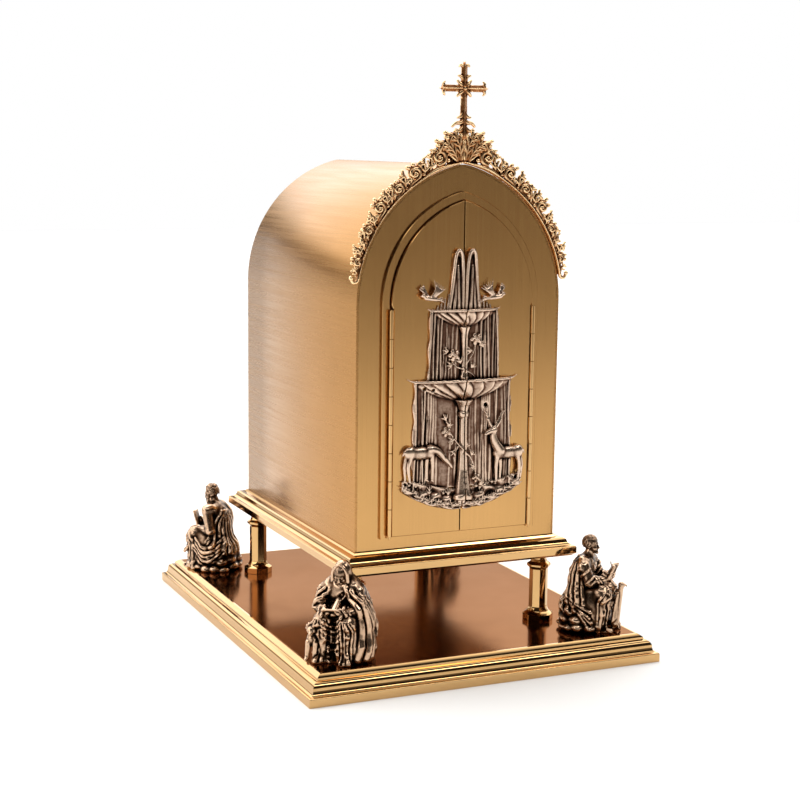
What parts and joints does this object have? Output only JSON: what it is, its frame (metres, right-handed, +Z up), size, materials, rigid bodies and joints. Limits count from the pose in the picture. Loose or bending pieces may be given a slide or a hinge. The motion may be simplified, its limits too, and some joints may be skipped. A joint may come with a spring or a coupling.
{
  "type": "altar tabernacle",
  "caption": "Gilt brass altar tabernacle with a pointed roof, hinged doors with a fountain relief, leafy cresting with a cross, and seated corner figures on a moulded base.",
  "frame": {"origin": "centre of the base's footprint, on the surface it stands on", "axes": "+X to the viewer's right when facing the doors, -Y towards the front (the doors), +Z up"},
  "size_m": [0.45, 0.584, 0.7061],
  "materials": {
    "polished_brass": "mirror polished and lacquered",
    "satin_brass": "satin brushed and gilt",
    "gilt_casting": "cast, gilt, with dark patina in the hollows",
    "silvered_bronze": "cast, antique silvered, dark patina in the hollows"
  },
  "bodies": {
    "house": {"base_moulding": "polished_brass", "base_top": "polished_brass", "plinth_moulding": "polished_brass", "plinth_underside": "satin_brass", "column_front_left": "polished_brass", "column_front_right": "polished_brass", "column_back_left": "polished_brass", "column_back_right": "polished_brass", "house_shell": "satin_brass", "back_panel": "satin_brass", "front_panel": "satin_brass", "house_floor": "satin_brass", "door_frame": "satin_brass", "hinge_frame_leaf_right": "polished_brass", "hinge_frame_leaf_left": "polished_brass", "hinge_pin_right": "polished_brass", "hinge_pin_left": "polished_brass", "cross": "gilt_casting", "cresting_right": "gilt_casting", "cresting_left": "gilt_casting", "figure_front_left": "silvered_bronze", "figure_front_right": "silvered_bronze", "figure_back_left": "silvered_bronze", "figure_back_right": "silvered_bronze"},
    "left_door": {"door_left": "satin_brass", "hinge_door_leaf_left": "polished_brass", "relief_left": "silvered_bronze"},
    "right_door": {"door_right": "satin_brass", "hinge_door_leaf_right": "polished_brass", "relief_right": "silvered_bronze"}
  },
  "joints": [
    {"name": "left_door_hinge", "type": "hinge", "parent": "house", "child": "left_door", "pos_m": [-0.0913, -0.1995, 0.2925], "axis": [0, 0, -1], "range_deg": [0, 105]},
    {"name": "right_door_hinge", "type": "hinge", "parent": "house", "child": "right_door", "pos_m": [0.0913, -0.1995, 0.2925], "axis": [0, 0, 1], "range_deg": [0, 105]}
  ]
}
